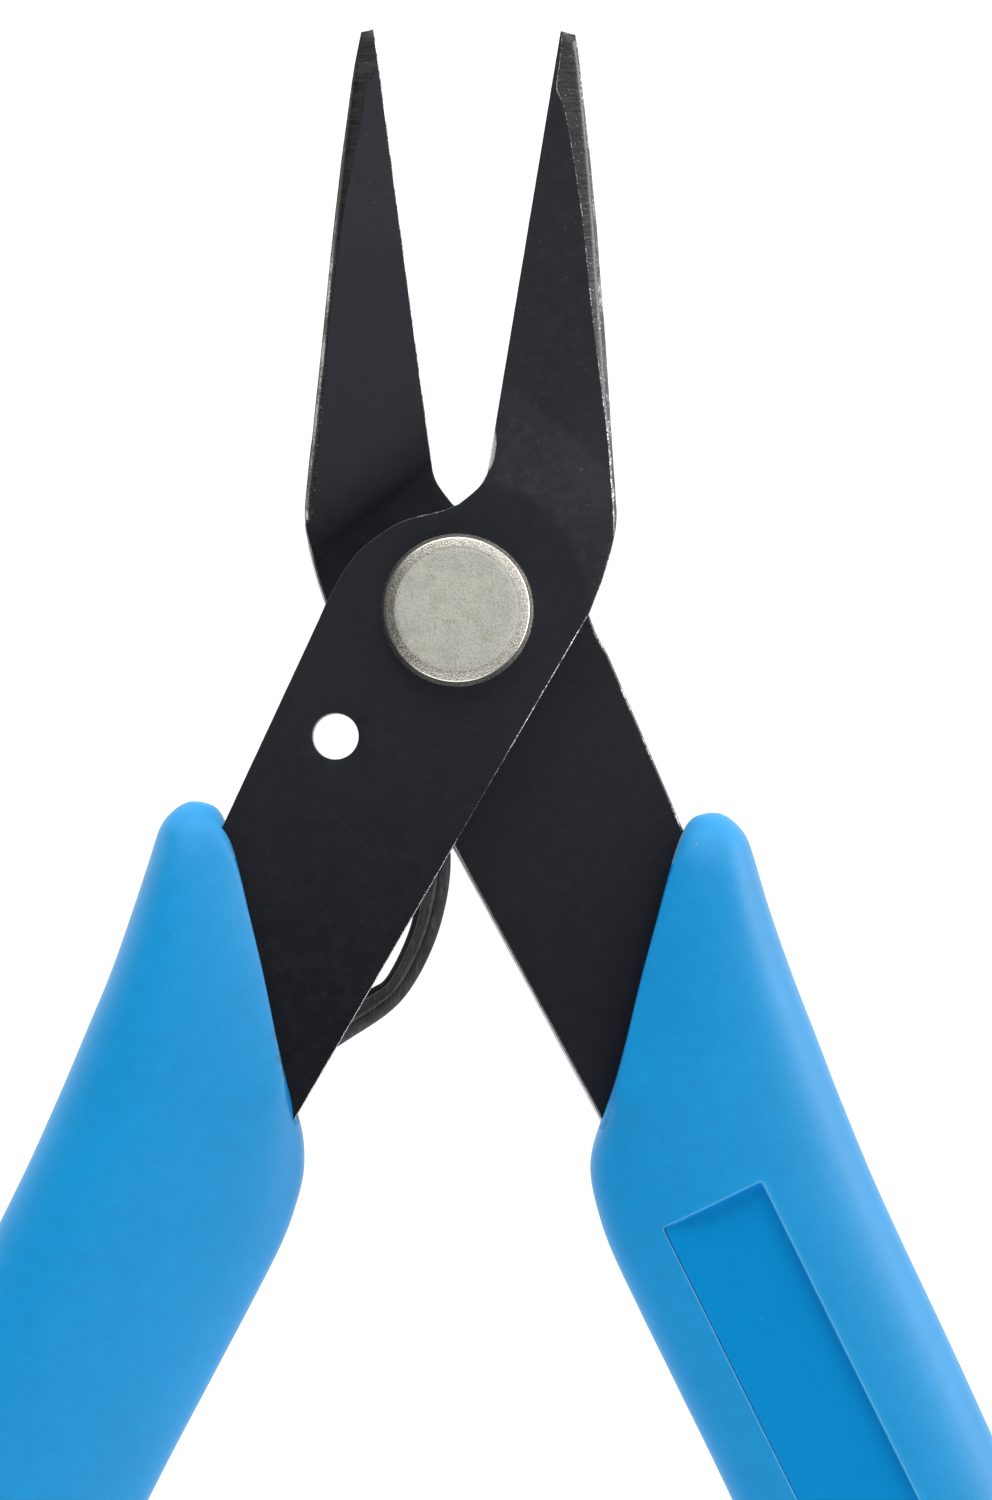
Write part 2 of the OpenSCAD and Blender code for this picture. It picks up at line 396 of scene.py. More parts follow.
def make_rubber(name, deep, light, grain_size, grain_bump, rough_lo, rough_hi, gloss, sheen):
    """Satin moulded rubber with a fine spark-eroded grain, faint mottling, a little dirt and dust, a thin painted shade
    along the lip and a painted highlight on the recess rim.
    """
    n = Nodes(name)
    cloud = n.noise(90, 4, 0.6, 0.3)
    mid = n.noise(900, 4, 0.6)
    grain = n.noise(grain_size, 3, 0.62)
    cell = n.cells(grain_size * 0.62)
    tone = n.math("ADD", n.math("MULTIPLY", cloud, 0.32), n.math("MULTIPLY", mid, 0.23))
    tone = n.math("ADD", tone, n.math("MULTIPLY", grain, 0.45))
    col = n.mix(n.span(tone, 0.34, 0.66), deep, light)
    dust = n.math("MULTIPLY", n.span(n.cells(420), 0.045, 0.030), n.span(n.noise(140, 2, 0.5), 0.50, 0.60))
    col = n.mix(n.math("MULTIPLY", dust, 0.22), col, rgb(0.42, 0.55, 0.70))
    # painted highlight: lighter blue line along the recess rim's bead
    col = n.mix(n.math("MULTIPLY", n.attr("rim_highlight"), 0.45), col, rgb(0.22, 0.60, 0.90))
    # a dirt smudge near the lip's middle, plus painted shade in a thin line along the whole lip
    dirt_and_painted_shade = n.math("MULTIPLY", n.attr("dirt_and_painted_shade"), n.span(n.noise(1500, 4, 0.65), 0.40, 0.60))
    col = n.mix(n.math("MULTIPLY", dirt_and_painted_shade, 0.75), col, rgb(0.035, 0.060, 0.075))
    rough = n.span(grain, 0.3, 0.7, rough_lo, rough_hi)
    nor = n.bump(cell, grain_bump * 0.5, 0.6)
    nor = n.bump(grain, grain_bump, 1.0, nor)
    return n.shader(Base_Color=col, Roughness=rough, Normal=nor, Metallic=0.0, Specular_IOR_Level=gloss,
                    Sheen_Weight=sheen, Sheen_Roughness=0.46)


def make_spring():
    """Dark glass-filled plastic, with drag lines along the leaf, a painted highlight on the raised line, the shoulders
    and the ledge's rim, and painted shade on the walls and in the groove.
    """
    n = Nodes("spring_plastic_dark")
    drag = n.noise(1.0, 4, 0.6, co=n.stretch((3600, 620, 3600), (0, 0, math.radians(-28))))
    cloud = n.noise(700, 4, 0.6)
    grain = n.noise(5200, 3, 0.6)
    col = n.mix(n.span(cloud, 0.35, 0.68), rgb(0.022, 0.0225, 0.0255), rgb(0.046, 0.0465, 0.052))
    col = n.mix(n.math("MULTIPLY", n.span(drag, 0.50, 0.68), 0.75), col, rgb(0.095, 0.094, 0.098))
    # painted shade on the leaf's side walls, its bottom, the groove and the ledge's step wall
    col = n.mix(n.math("MULTIPLY", n.attr("shade"), n.span(drag, 0.35, 0.62, 0.75, 0.35)), col, rgb(0.010, 0.010, 0.011))
    # painted highlight on the raised line, the shoulders and the ledge's rim
    col = n.mix(n.math("MULTIPLY", n.attr("painted_highlight"), n.span(cloud, 0.3, 0.6, 0.1, 0.6)), col, rgb(0.15, 0.145, 0.14))
    rough = n.span(grain, 0.3, 0.7, 0.42, 0.58)
    nor = n.bump(drag, 0.000022, 1.0)
    nor = n.bump(grain, 0.000012, 0.8, nor)
    return n.shader(Base_Color=col, Roughness=rough, Normal=nor, Metallic=0.0, Specular_IOR_Level=0.45)


OXIDE, EDGE = make_oxide(), make_edge()
# the rear jaw's copy is the same ground steel with much more painted shade
GROUND_FRONT, GROUND_REAR = make_ground("ground_jaw_steel", 0.08), make_ground("ground_jaw_steel_painted_shade", 0.62)
RIVET_FACE = make_rivet("rivet_face_steel", rgb(0.82, 0.815, 0.695), rgb(0.69, 0.695, 0.635), 0.42, 0.56, 0.000012, 0.12)
RIVET_RIM = make_rivet("rivet_rim_steel", rgb(0.71, 0.68, 0.605), rgb(0.55, 0.525, 0.465), 0.34, 0.50, 0.000030, 0.62, 8200)
RIVET_SIDE = make_rivet("rivet_side_steel", rgb(0.62, 0.60, 0.54), rgb(0.34, 0.33, 0.29), 0.32, 0.50, 0.000025, 0.5, 6500)
RIVET_EDGE = make_rivet("rivet_edge_steel", rgb(0.58, 0.57, 0.535), rgb(0.49, 0.48, 0.445), 0.28, 0.40, 0.000008, 0.20, 6500)
RUBBER = make_rubber("blue_grip_rubber", rgb(0.0, 0.306, 0.700), rgb(0.0, 0.382, 0.856), 8600, 0.000012, 0.50, 0.62, 0.34, 0.16)
PANEL = make_rubber("blue_panel_and_lip_shade_rubber", rgb(0.0, 0.282, 0.680), rgb(0.0, 0.318, 0.755), 8600, 0.000005, 0.42, 0.54, 0.10, 0.0)
SPRING = make_spring()


# ------------------------------------------------------------------ blades
TANG = [(-25.5, -37.5), (-31.2, -52), (-35.6, -65), (-38.3, -77), (-39.2, -85),
        (-38.6, -88), (-36.8, -89), (-35, -88), (-34.2, -84.5), (-32.8, -76),
        (-28.6, -64.5), (-23.5, -55), (-19.35, -50)]
BOSS = [(-1.25, 6.5), (-3.85, 5.75), (-6.1, 4.2), (-7.4, 2.65), (-8.5, 0.6), (-9.2, -1)]
DIR = (math.cos(math.radians(50)), math.sin(math.radians(50)))

FRONT = dict(
    tip_in=(6.28, 38.56), root=(1.86, 9.1),
    crotch=[(1.86, 9.1), (1.78, 8.9), (1.46, 8.31), (1.06, 7.88), (0.63, 7.5), (0, 7.0)],
    cheek=[(8.75, 0), (9.1, 0.95), (9.5, 2), (9.8, 3), (10.08, 4), (10.3, 5), (10.42, 5.8),
           (10.45, 6.7), (10.37, 7.9), (10.28, 9), (10.17, 10.3), (10.06, 11.8), (9.93, 13.5),
           (9.81, 15), (9.66, 17), (9.51, 18.8), (9.31, 21), (9.11, 23), (8.91, 25.4), (8.69, 27.4),
           (8.46, 29.5), (8.22, 31.4), (7.97, 33.4), (7.71, 35.4), (7.48, 37.2), (7.27, 38.38)],
    facet=[(6.34, 38.4), (6.24, 36.9), (6.12, 35.8), (6.03, 35), (6.06, 34.55), (6.25, 34.2),
           (6.49, 33.65), (6.89, 32), (7.1, 30.8), (7.32, 29.6), (7.58, 28), (7.85, 26.3),
           (8.06, 24.7), (8.29, 22.6), (8.54, 20.5), (8.79, 18.5), (9, 17.1), (9.22, 15.5),
           (9.41, 14.1), (9.6, 12.9), (9.76, 11.5), (9.9, 10.2), (10.03, 8.6), (10.17, 7),
           (10.2, 5.8), (10.14, 5)])
REAR = dict(
    tip_in=(6.11, 38.58), root=(1.8, 9.5),
    crotch=[(1.8, 9.5), (1.72, 9.15), (1.55, 8.72), (1.28, 8.25), (0.9, 7.75), (0.45, 7.2), (0.1, 6.93)],
    cheek=[(8.75, 0.1), (9.02, 0.9), (9.28, 1.6), (9.56, 2.5), (9.84, 3.5), (10.06, 4.5), (10.18, 5.5),
           (10.22, 6.4), (10.18, 7.4), (10.07, 8.6), (9.95, 10), (9.79, 11.5), (9.63, 13.3),
           (9.47, 15), (9.31, 16.8), (9.16, 18.5), (9.01, 20.4), (8.85, 22.4), (8.67, 24.4),
           (8.47, 26.5), (8.29, 28.3), (8.09, 30.2), (7.85, 32.2), (7.61, 34.2), (7.36, 36.1), (6.96, 38.37)],
    facet=[(5.86, 35.75), (6.05, 35.5), (6.3, 35.05), (6.52, 34.5), (6.7, 33.3), (6.92, 31.8),
           (7.22, 30.3), (7.5, 28.7), (7.83, 26.7), (8.04, 25.1), (8.24, 23.5), (8.44, 21.8),
           (8.61, 20.2), (8.83, 17.6), (8.95, 15.9), (9.06, 14.2), (9.21, 11.8), (9.42, 9.2), (9.64, 6.7), (9.74, 5.9)])


def ramp(u):
    """Straight ramp from 0 to 1 with slightly rounded corners."""
    k = 0.07
    if u <= -k:
        return 0.0
    if u < k:
        return (u + k) ** 2 / (4 * k)
    if u < 1 - k:
        return u
    if u < 1 + k:
        return 1 - (1 + k - u) ** 2 / (4 * k)
    return 1.0


def step_a(x, y):
    """Share of the step on the face that starts on an arc about the pivot."""
    s, r = x * DIR[0] + y * DIR[1], math.hypot(x, y)
    if s < 3:
        return 0.0
    if r <= 8.8:
        return ramp((r - 8.8) / 4.9)
    if s >= 13.7:
        return ramp(1 + (s - 13.7) / 4.9)
    return ramp((r - 8.8) / (r - 8.8 + 13.7 - s))


def step_b(x, y):
    """Share of the step on the other face, which starts on a straight crease."""
    return ramp((x * DIR[0] + y * DIR[1] - 8.55) / 4.9)


def outline_of(jaw):
    """Closed outline with a tag for each point: face, crotch, boss, tang, cheek or tip."""
    runs = [("face", [jaw["tip_in"], jaw["root"]], 0.5),
            ("crotch", curve(jaw["crotch"], 6), 0.14),
            ("boss", curve([jaw["crotch"][-1]] + BOSS, 8), 0.28),
            ("outer", [BOSS[-1], TANG[0]], 0.6),
            ("tang", curve(TANG, 8), 0.9),
            ("inner", [TANG[-1], jaw["cheek"][0]], 0.6),
            ("cheek", curve(jaw["cheek"], 6), 0.32),
            ("tip", [jaw["cheek"][-1], jaw["tip_in"]], 0.12)]
    pts, tags = [], []
    for tag, line, step in runs:
        row = spaced(line, step)[:-1]
        pts += row
        tags += [tag] * len(row)
    return pts, tags


def edge_sizes(tag, x, y):
    """(chamfer of face A, draft, rolled radius of face B) of the outline at a point."""
    if tag == "face":
        return 0.05 + 0.25 * smooth(1.25 - abs(y - 10.5) / 1.5), 0.0, 0.06
    if tag == "tip":
        return 0.05, 0.0, 0.05
    if tag == "crotch":
        return 0.05, 0.0, 0.09
    if tag == "cheek":
        k = smooth((y - 3.8) / 2.2)
        return lerp(0.055, 0.045, k), lerp(0.10, 0.0, k), lerp(0.15, 0.05, k)
    if tag == "boss":
        k = smooth((2.0 - x) / 3.0)
        return 0.055, lerp(0.0, 0.06, k), lerp(0.09, 0.15, k)
    return 0.055, 0.11, 0.16


def build_blade(name, jaw, turned, hole, wear_at, jaw_at):
    outline, tags = outline_of(jaw)
    if turned:
        grow = []
        for (x, y), t in zip(outline, tags):
            k = {"outer": smooth((-y - 1) / 2) * smooth((y + 19) / 3),
                 "inner": smooth((-y - 0.5) / 2) * smooth((y + 38) / 4)}.get(t, 0.0)
            grow.append(0.17 * k)
        outline = [(x + m[0] * g, y + m[1] * g) for (x, y), m, g in zip(outline, normals_of(outline), grow)]
    wave = [0.010 * noise.noise(Vector((x * 2.3, y * 2.3, 3.1 if turned else 7.7))) for x, y in outline]
    mitre = normals_of(outline)
    outline = [(x + m[0] * w, y + m[1] * w) for (x, y), m, w in zip(outline, mitre, wave)]
    size = [edge_sizes(t, x, y) for t, (x, y) in zip(tags, outline)]
    n = len(outline)

    def inset(k, d):
        return (outline[k][0] - mitre[k][0] * d, outline[k][1] - mitre[k][1] * d)

    facet = curve(jaw["facet"], 5)
    facet_fine = spaced(facet, 0.3)
    strip = []
    for i, (x, y) in enumerate(facet_fine):
        a, b = facet_fine[max(i - 1, 0)], facet_fine[min(i + 1, len(facet_fine) - 1)]
        d = Vector((b[0] - a[0], b[1] - a[1])).normalized()
        w = 0.07 + 0.03 * noise.noise(Vector((x * 1.7, y * 1.7, 1.3)))
        strip.append((x - d[1] * w, y + d[0] * w))
    cheek_line = [p for p, t in zip(outline, tags) if t in ("cheek", "tip")]
    a, b = facet_fine[0], facet_fine[-1]
    facet_poly = facet_fine + [(14, b[1] - 0.3), (14, 42), (a[0] - 1.5, 42), (a[0] - 1.5, a[1])]
    if jaw is FRONT:
        facet_poly = facet_fine + [(14, b[1] - 0.3), (14, 42), (a[0] + 0.02, 42)]

    def beyond(x, y):
        """Distance past the facet's crease, and the facet's width there."""
        if y < 4.4 or x < 4:
            return 0.0, 1.0
        if not inside(facet_poly, x, y):
            return 0.0, 1.0
        d, _ = near_line(facet_fine, x, y)
        e, _ = near_line(cheek_line, x, y)
        return d, max(d + e, 0.02)

    def drop(x, y):
        d, w = beyond(x, y)
        if d <= 0:
            return 0.0
        r = min(0.44, 0.85 * w)
        q = clamp((d - w + r) / r, 0.0, 0.96)
        flat = lerp(0.12, 0.50, smooth((35 - y) / 17)) * d
        return (flat + lerp(0.9, 1.6, smooth((34 - y) / 8)) * r * (1 - math.sqrt(1 - q * q))) * smooth((y - 4.6) / 1.6)

    def rim_of(y):
        """Width of the worn outer edge of the facet."""
        return lerp(0.09, 0.25, smooth((31 - y) / 13))

    def z_a(x, y):
        return PLATE_T - STEP_RISE * step_a(x, y) - drop(x, y)

    def z_b(x, y):
        return HALF_FILM - STEP_RISE * step_b(x, y) + drop(x, y)

    verts, faces, mats, wear, jawness, shade = [], [], [], [], [], []
    sharp = set()

    def add(x, y, z, w=0.0):
        verts.append((x, y, z))
        wear.append(w)
        jawness.append(jaw_at(x, y))
        v = lerp(0.15 if turned else 0.0, 0.33, smooth((y + 30) / (27 if turned else 29))) + 0.07 * smooth((y - 10) / 9)
        if turned:
            d = x * DIR[0] + y * DIR[1]
            v += 0.20 * smooth((y - 4) / 7) + 0.16 * smooth((y - 23) / 3)
            # painted shade: dark bands across the rear blade's step, beside its crease
            v -= (0.16 * math.exp(-((d - 8.75) / 0.4) ** 2) + 0.25 * smooth((12 - d) / 2.8)) * smooth((d - 6.6) / 0.8)
        else:
            # painted highlight: lighter on the front blade's step, where it faces the light
            v += 0.20 * smooth((x - 5.5) / 3.5) * smooth((y - 6) / 3) * smooth((17 - y) / 5)
        shade.append(clamp(v))
        return len(verts) - 1

    holes = [(0.0, 0.0, 3.01 if not turned else 3.03, 72)]
    if hole:
        holes.append((-7.88, -8.42, 1.52, 56))
    rings = {}
    for face in "ab":
        z_of = z_a if face == "a" else z_b
        if face == "a":
            ring = [inset(k, size[k][0]) for k in range(n)]
        else:
            ring = [inset(k, size[k][1] + size[k][2]) for k in range(n)]
        bores = [circle(cx, cy, r + 0.06, m) for cx, cy, r, m in holes]
        free = []
        if face == "a":
            for i in range(27):
                r = 8.8 + 0.2 * (i - 4) if i < 12 else 11.2 + 0.35 * (i - 12)
                for j in range(60):
                    a = math.radians(-6 + 92 * j / 59)
                    free.append((r * math.cos(a), r * math.sin(a)))
            srange = [13.1 + 0.15 * i for i in range(9)] + [15, 16.5, 18, 20, 22, 25, 28, 31, 34]
        else:
            srange = [7.9 + 0.16 * i for i in range(9)] + [9.6, 10.1, 10.6, 11.1, 11.6, 12.1, 12.6] \
                + [12.9 + 0.16 * i for i in range(8)] + [15, 16.5, 18, 20, 22, 25, 28, 31, 34]
        for s in srange:
            for j in range(64):
                t = -12 + 0.55 * j
                free.append((s * DIR[0] - t * DIR[1], s * DIR[1] + t * DIR[0]))
        for i in range(-20, 6):
            for j in range(-46, 6):
                free.append((i * 2.0 + (j % 2), j * 2.0))
        tree = KDTree(len(ring) + len(facet_fine) + len(strip) + sum(len(b) for b in bores))
        k = 0
        for p in ring + facet_fine + strip + [q for b in bores for q in b]:
            tree.insert((p[0], p[1], 0), k)
            k += 1
        tree.balance()
        free = [p for p in free if inside(ring, *p) and tree.find((p[0], p[1], 0))[2] > 0.28
                and all(math.hypot(p[0] - cx, p[1] - cy) > r + 0.3 for cx, cy, r, m in holes)]
        # facet interior points, so that the ground faces come out rounded
        for i in range(2, len(facet_fine) - 1):
            a, b = facet_fine[i - 1], facet_fine[i + 1]
            d = Vector((b[0] - a[0], b[1] - a[1])).normalized()
            x, y = facet_fine[i]
            w = beyond(x - d[1] * 0.05, y + d[0] * 0.05)[1]
            r = min(0.44, 0.85 * w)
            for e in [(w - r) * f for f in (0.35, 0.7, 1.0)] + [w - r * f for f in (0.74, 0.54, 0.37, 0.23)]:
                q = (x - d[1] * e, y + d[0] * e)
                if e > 0.11 and w - e > 0.06 and inside(ring, *q) and tree.find((q[0], q[1], 0))[2] > 0.03:
                    free.append(q)
        crease = [p for p in facet_fine if inside(ring, *p) and near_line(ring + ring[:1], *p)[0] > 0.03]
        second = [p for p in strip if inside(ring, *p) and near_line(ring + ring[:1], *p)[0] > 0.03]
        lines = [crease, second]
        flat, tris, where = fill(
            [ring] + bores, lines, free,
            lambda x, y: inside(ring, x, y) and all(math.hypot(x - cx, y - cy) > r + 0.055 for cx, cy, r, m in holes))
        used = sorted({i for t in tris for i in t})
        slot = {i: add(flat[i][0], flat[i][1], z_of(*flat[i])) for i in used}
        for i in used:
            d, width = beyond(*flat[i])
            if d > 0 and width - d < 0.4:
                wear[slot[i]] = wear_at("rim", *flat[i])
        for t in tris:
            cx = sum(flat[i][0] for i in t) / 3
            cy = sum(flat[i][1] for i in t) / 3
            d, width = beyond(cx, cy)
            tri = [slot[i] for i in t]
            area = sum(flat[t[i]][0] * flat[t[(i + 1) % 3]][1] - flat[t[(i + 1) % 3]][0] * flat[t[i]][1] for i in range(3))
            if (area > 0) != (face == "a"):
                tri.reverse()
            faces.append(tri)
            if d > 0:
                on_strip = near_line(facet_fine, cx, cy)[0] < 0.06
                mats.append(2 if on_strip or width - d < rim_of(cy) else 1)
            else:
                mats.append(0)
        base = len(ring) + sum(len(b) for b in bores)
        run = [slot.get(where.get(base + i)) for i in range(len(crease))]
        for i, j in zip(run, run[1:]):
            if i is not None and j is not None:
                sharp.add(tuple(sorted((i, j))))
        for i in run + [slot.get(where.get(base + len(crease) + j)) for j in range(len(second))]:
            if i is not None:
                x, y, _ = verts[i]
                wear[i] = wear_at("crease", x, y)
        rings[face] = [slot[where[i]] for i in range(len(ring))]
        start = len(ring)
        rings[face + "h"] = []
        for b in bores:
            rings[face + "h"].append([slot[where[start + i]] for i in range(len(b))])
            start += len(b)

    # chamfered and rolled edges, and the sheared side between them
    chain = [rings["a"]]
    for f in (0.62, 0.26, 0.0):
        row = []
        for k in range(n):
            c = size[k][0]
            x, y = inset(k, c * f)
            za = verts[rings["a"][k]][2]
            tall = {"cheek": 1 + 1.6 * smooth((y - 5) / 2), "face": 1 + 1.7 * smooth((c - 0.06) / 0.1)}.get(tags[k], 1.0)
            row.append(add(x, y, za - c * tall * (1 - f) ** 1.4, wear_at(tags[k], x, y)))
        chain.append(row)
    for f in (0.30, 0.66):
        row = []
        for k in range(n):
            x0, y0, za = verts[chain[3][k]]
            x, y = inset(k, size[k][1] * f)
            zb = verts[rings["b"][k]][2] + size[k][2]
            row.append(add(x, y, lerp(za, zb, f), 0.45 * wear_at(tags[k], x, y) + 0.12))
        chain.append(row)
    for i in range(6):
        a = math.radians(90 * (1 - i / 6))
        row = []
        for k in range(n):
            r = size[k][2]
            x, y = inset(k, size[k][1] + r * (1 - math.sin(a)))
            zb = verts[rings["b"][k]][2]
            row.append(add(x, y, zb + r * (1 - math.cos(a)), wear_at(tags[k], x, y)))
        chain.append(row)
    chain.append(rings["b"])
    for k in range(n):
        for i in rings["a"][k], rings["b"][k]:
            wear[i] = wear_at(tags[k], verts[i][0], verts[i][1])
    for upper, lower in zip(chain, chain[1:]):
        for k in range(n):
            j = (k + 1) % n
            faces.append([upper[j], upper[k], lower[k], lower[j]])
            mats.append(2)
    # bores
    for (cx, cy, r, m), top, bottom in zip(holes, rings["ah"], rings["bh"]):
        rows = [top]
        za = [verts[i][2] for i in top]
        zb = [verts[i][2] for i in bottom]
        ring = circle(cx, cy, r + 0.02, m)
        rows.append([add(x, y, za[i] - 0.015, wear_at("hole", x, y)) for i, (x, y) in enumerate(ring)])
        ring = circle(cx, cy, r, m)
        for f in (0.03, 0.35, 0.68, 0.97):
            rows.append([add(x, y, lerp(za[i], zb[i], f), wear_at("hole", x, y)) for i, (x, y) in enumerate(ring)])
        ring = circle(cx, cy, r + 0.02, m)
        rows.append([add(x, y, zb[i] + 0.015, wear_at("hole", x, y)) for i, (x, y) in enumerate(ring)])
        rows.append(bottom)
        for upper, lower in zip(rows, rows[1:]):
            for k in range(m):
                j = (k + 1) % m
                faces.append([upper[k], upper[j], lower[j], lower[k]])
                mats.append(2)
    if turned:
        verts = [(-x, y, -z) for x, y, z in verts]
    o = new_object(name, verts, faces, [OXIDE, GROUND_REAR if turned else GROUND_FRONT, EDGE], mats, sharp, 32,
                   {"wear": wear, "jaw": jawness, "tone": shade})
    return o


def jaw_front(x, y):
    s, r = x * DIR[0] + y * DIR[1], math.hypot(x, y)
    if s < 3:
        return 0.0
    lift = smooth((r - 8.6) / 0.5)
    return lift * lerp(1.0, 0.62, smooth((s - 13.4) / 0.8))


def jaw_rear(x, y):
    s = x * DIR[0] + y * DIR[1]
    return 0.15 * smooth((s - 9) / 2) + 0.85 * smooth((y - 21) / 5)


def wear_front(tag, x, y):
    if tag == "face":
        return lerp(0.45, 1.0, smooth((12.8 - y) / 0.8))
    if tag == "crease":
        return 0.56 if y > 6 else 0.3
    if tag == "crotch":
        return 0.75 if y > 8.4 else 0.45
    if tag == "inner":
        return lerp(0.62, 0.45, smooth((-y - 8) / 5)) + 0.5 * smooth((-y - 14) / 3)
    if tag == "boss":
        return 0.26 if x < -5.2 else (0.50 if -3.2 < x < -0.6 else 0.16)
    if tag == "hole":
        return 0.5
    if tag in ("cheek", "rim"):
        return lerp(0.50, 0.57, smooth((y - 17) / 6))
    if tag == "outer":
        return 0.25
    return 0.38


def wear_rear(tag, x, y):
    if tag == "face":
        return 0.66
    if tag == "crease":
        return lerp(0.50, 0.34, smooth((y - 12) / 8))
    if tag == "crotch":
        return 0.45
    if tag == "inner":
        return 1.0
    if tag in ("cheek", "rim"):
        return 0.95 if y < 6.5 else lerp(0.60, 0.50, smooth((y - 22) / 6))
    if tag == "outer":
        return 0.52
    if tag == "boss":
        return 0.5
    return 0.4


front_blade = build_blade("front_blade_steel", FRONT, False, True, wear_front, jaw_front)
rear_blade = build_blade("rear_blade_steel", REAR, True, False, wear_rear, jaw_rear)


# ------------------------------------------------------- rivet and washer
def lathe(name, profile, slots, slot_of, n=144, closed=False, soft_angle=35):
    """Turned piece: profile of (radius, height) from the front down to the back."""
    verts, faces, mats, rows = [], [], [], []
    for r, z in profile:
        if r < 1e-6:
            verts.append((0, 0, z))
            rows.append([len(verts) - 1])
        else:
            k = len(verts)
            verts += [(r * math.cos(2 * math.pi * i / n), r * math.sin(2 * math.pi * i / n), z) for i in range(n)]
            rows.append(list(range(k, k + n)))
    pairs = list(zip(range(len(rows)), range(1, len(rows))))
    if closed:
        pairs.append((len(rows) - 1, 0))
    for a, b in pairs:
        up, down = rows[a], rows[b]
        mid = ((profile[a][0] + profile[b][0]) / 2, (profile[a][1] + profile[b][1]) / 2)
        for i in range(n):
            j = (i + 1) % n
            if len(up) == 1:
                faces.append([up[0], down[i], down[j]])
            elif len(down) == 1:
                faces.append([up[j], up[i], down[0]])
            else:
                faces.append([up[j], up[i], down[i], down[j]])
            mats.append(slot_of(*mid))
    return new_object(name, verts, faces, slots, mats, None, soft_angle)


def rivet_slot(r, z):
    if z > 3.4 and r < 4.05:
        return 0
    if z > 3.375:
        return 1
    if z > 3.20:
        return 3
    if z > 2.3:
        return 2
    return 0 if z < -3.3 else 2


rivet_profile = [(0, 3.55), (1.2, 3.55), (2.4, 3.55), (3.4, 3.549), (3.82, 3.548), (3.92, 3.546), (3.97, 3.540),
                 (4.01, 3.537), (4.08, 3.535), (4.14, 3.529), (4.20, 3.516), (4.32, 3.484), (4.46, 3.446), (4.60, 3.408),
                 (4.69, 3.382), (4.735, 3.362), (4.768, 3.330), (4.79, 3.280), (4.805, 3.20), (4.845, 3.0), (4.91, 2.78),
                 (4.985, 2.58), (5.04, 2.45), (5.03, 2.402), (3.0, 2.402), (3.0, -2.43), (2.2, -2.43), (2.2, -3.332), (3.0, -3.332),
                 (3.05, -3.40), (3.03, -3.52), (2.93, -3.66), (2.72, -3.80), (2.42, -3.90), (2.05, -3.945), (1.72, -3.93),
                 (1.55, -3.88), (1.38, -3.80), (1.05, -3.71), (0.65, -3.655), (0.3, -3.64), (0, -3.64)]
rivet = lathe("pivot_rivet_steel", rivet_profile, [RIVET_FACE, RIVET_RIM, RIVET_SIDE, RIVET_EDGE], rivet_slot)

washer_profile = [(2.26, -2.43), (4.30, -2.43), (4.37, -2.45), (4.40, -2.52), (4.40, -3.16), (4.36, -3.25), (4.27, -3.31),
                  (4.15, -3.33), (3.6, -3.335), (2.9, -3.332), (2.36, -3.33), (2.26, -3.30), (2.22, -3.2), (2.22, -2.55)]
washer = lathe("rivet_washer_steel", washer_profile, [RIVET_FACE, RIVET_RIM],
               lambda r, z: 1 if (r > 4.2 or r < 2.35) else 0, 120, True)


# ------------------------------------------------------------------- grips
# rows of the grip: y, inner and outer side, height, softness of the inner and the
# outer corner, fall of the crown towards the inner side, lean of the inner wall
GRIP = [(-12.9, 16.75, 17.6, .1, .5, .5, 0, 0), (-13.12, 16.0, 18.1, .25, .5, .5, 0, 0),
        (-13.5, 15.55, 18.6, .38, .46, .47, 0, 0), (-14.1, 15.15, 19.15, .50, .36, .45, .03, .03),
        (-15, 14.75, 19.6, .63, .22, .43, .07, .06), (-17, 14.08, 20.2, .79, .05, .41, .15, .12),
        (-20, 13.3, 21.15, .9, .018, .40, .19, .14), (-24, 12.28, 22.55, .965, .015, .39, .20, .14),
        (-28, 11.38, 24.15, .99, .018, .385, .20, .14), (-31, 10.65, 25.35, 1, .05, .385, .18, .12),
        (-33.2, 10.05, 26.27, 1, .22, .385, .12, .06), (-35.2, 9.55, 27.12, 1, .34, .385, .04, .02),
        (-37.2, 9.5, 28.0, 1, .38, .385, 0, 0), (-39.4, 9.98, 29.03, 1, .385, .385, 0, 0),
        (-42, 10.9, 30.28, 1, .385, .385, 0, 0), (-46, 12.85, 32.25, 1, .385, .385, 0, 0),
        (-51, 15.4, 34.65, 1, .385, .385, 0, 0), (-57, 18.45, 37.4, 1, .385, .385, 0, 0),
        (-64, 21.8, 40.1, 1, .385, .385, 0, 0), (-71, 24.75, 42.2, 1, .385, .385, 0, 0),
        (-78, 27.2, 43.75, 1, .385, .385, 0, 0), (-85, 29, 44.7, 1, .385, .385, 0, 0),
        (-91, 30.1, 45, 1, .385, .385, 0, 0), (-95.5, 31, 44.6, .95, .39, .39, 0, 0),
        (-98.8, 32.3, 43.4, .8, .41, .41, 0, 0), (-101, 34, 41.8, .59, .45, .45, 0, 0),
        (-102.2, 35.8, 40.2, .36, .5, .5, 0, 0), (-102.5, 37.2, 38.8, .15, .5, .5, 0, 0)]
GRIP_ROWS = []
for g in curve(GRIP, 10):
    if not GRIP_ROWS or math.dist(g[:3], GRIP_ROWS[-1][:3]) > 0.16:
        GRIP_ROWS.append(g)
AROUND = 200


def crown_tilt(y, u):
    """Share of the height kept at u across the grip: it thins towards its inner side."""
    much = lerp(0.10, 0.28, smooth((-y - 31) / 7)) * smooth((-y - 14) / 4) * smooth((101 + y) / 8)
    return 1 - much * clamp((0.5 - u) / 1.5) ** 1.5


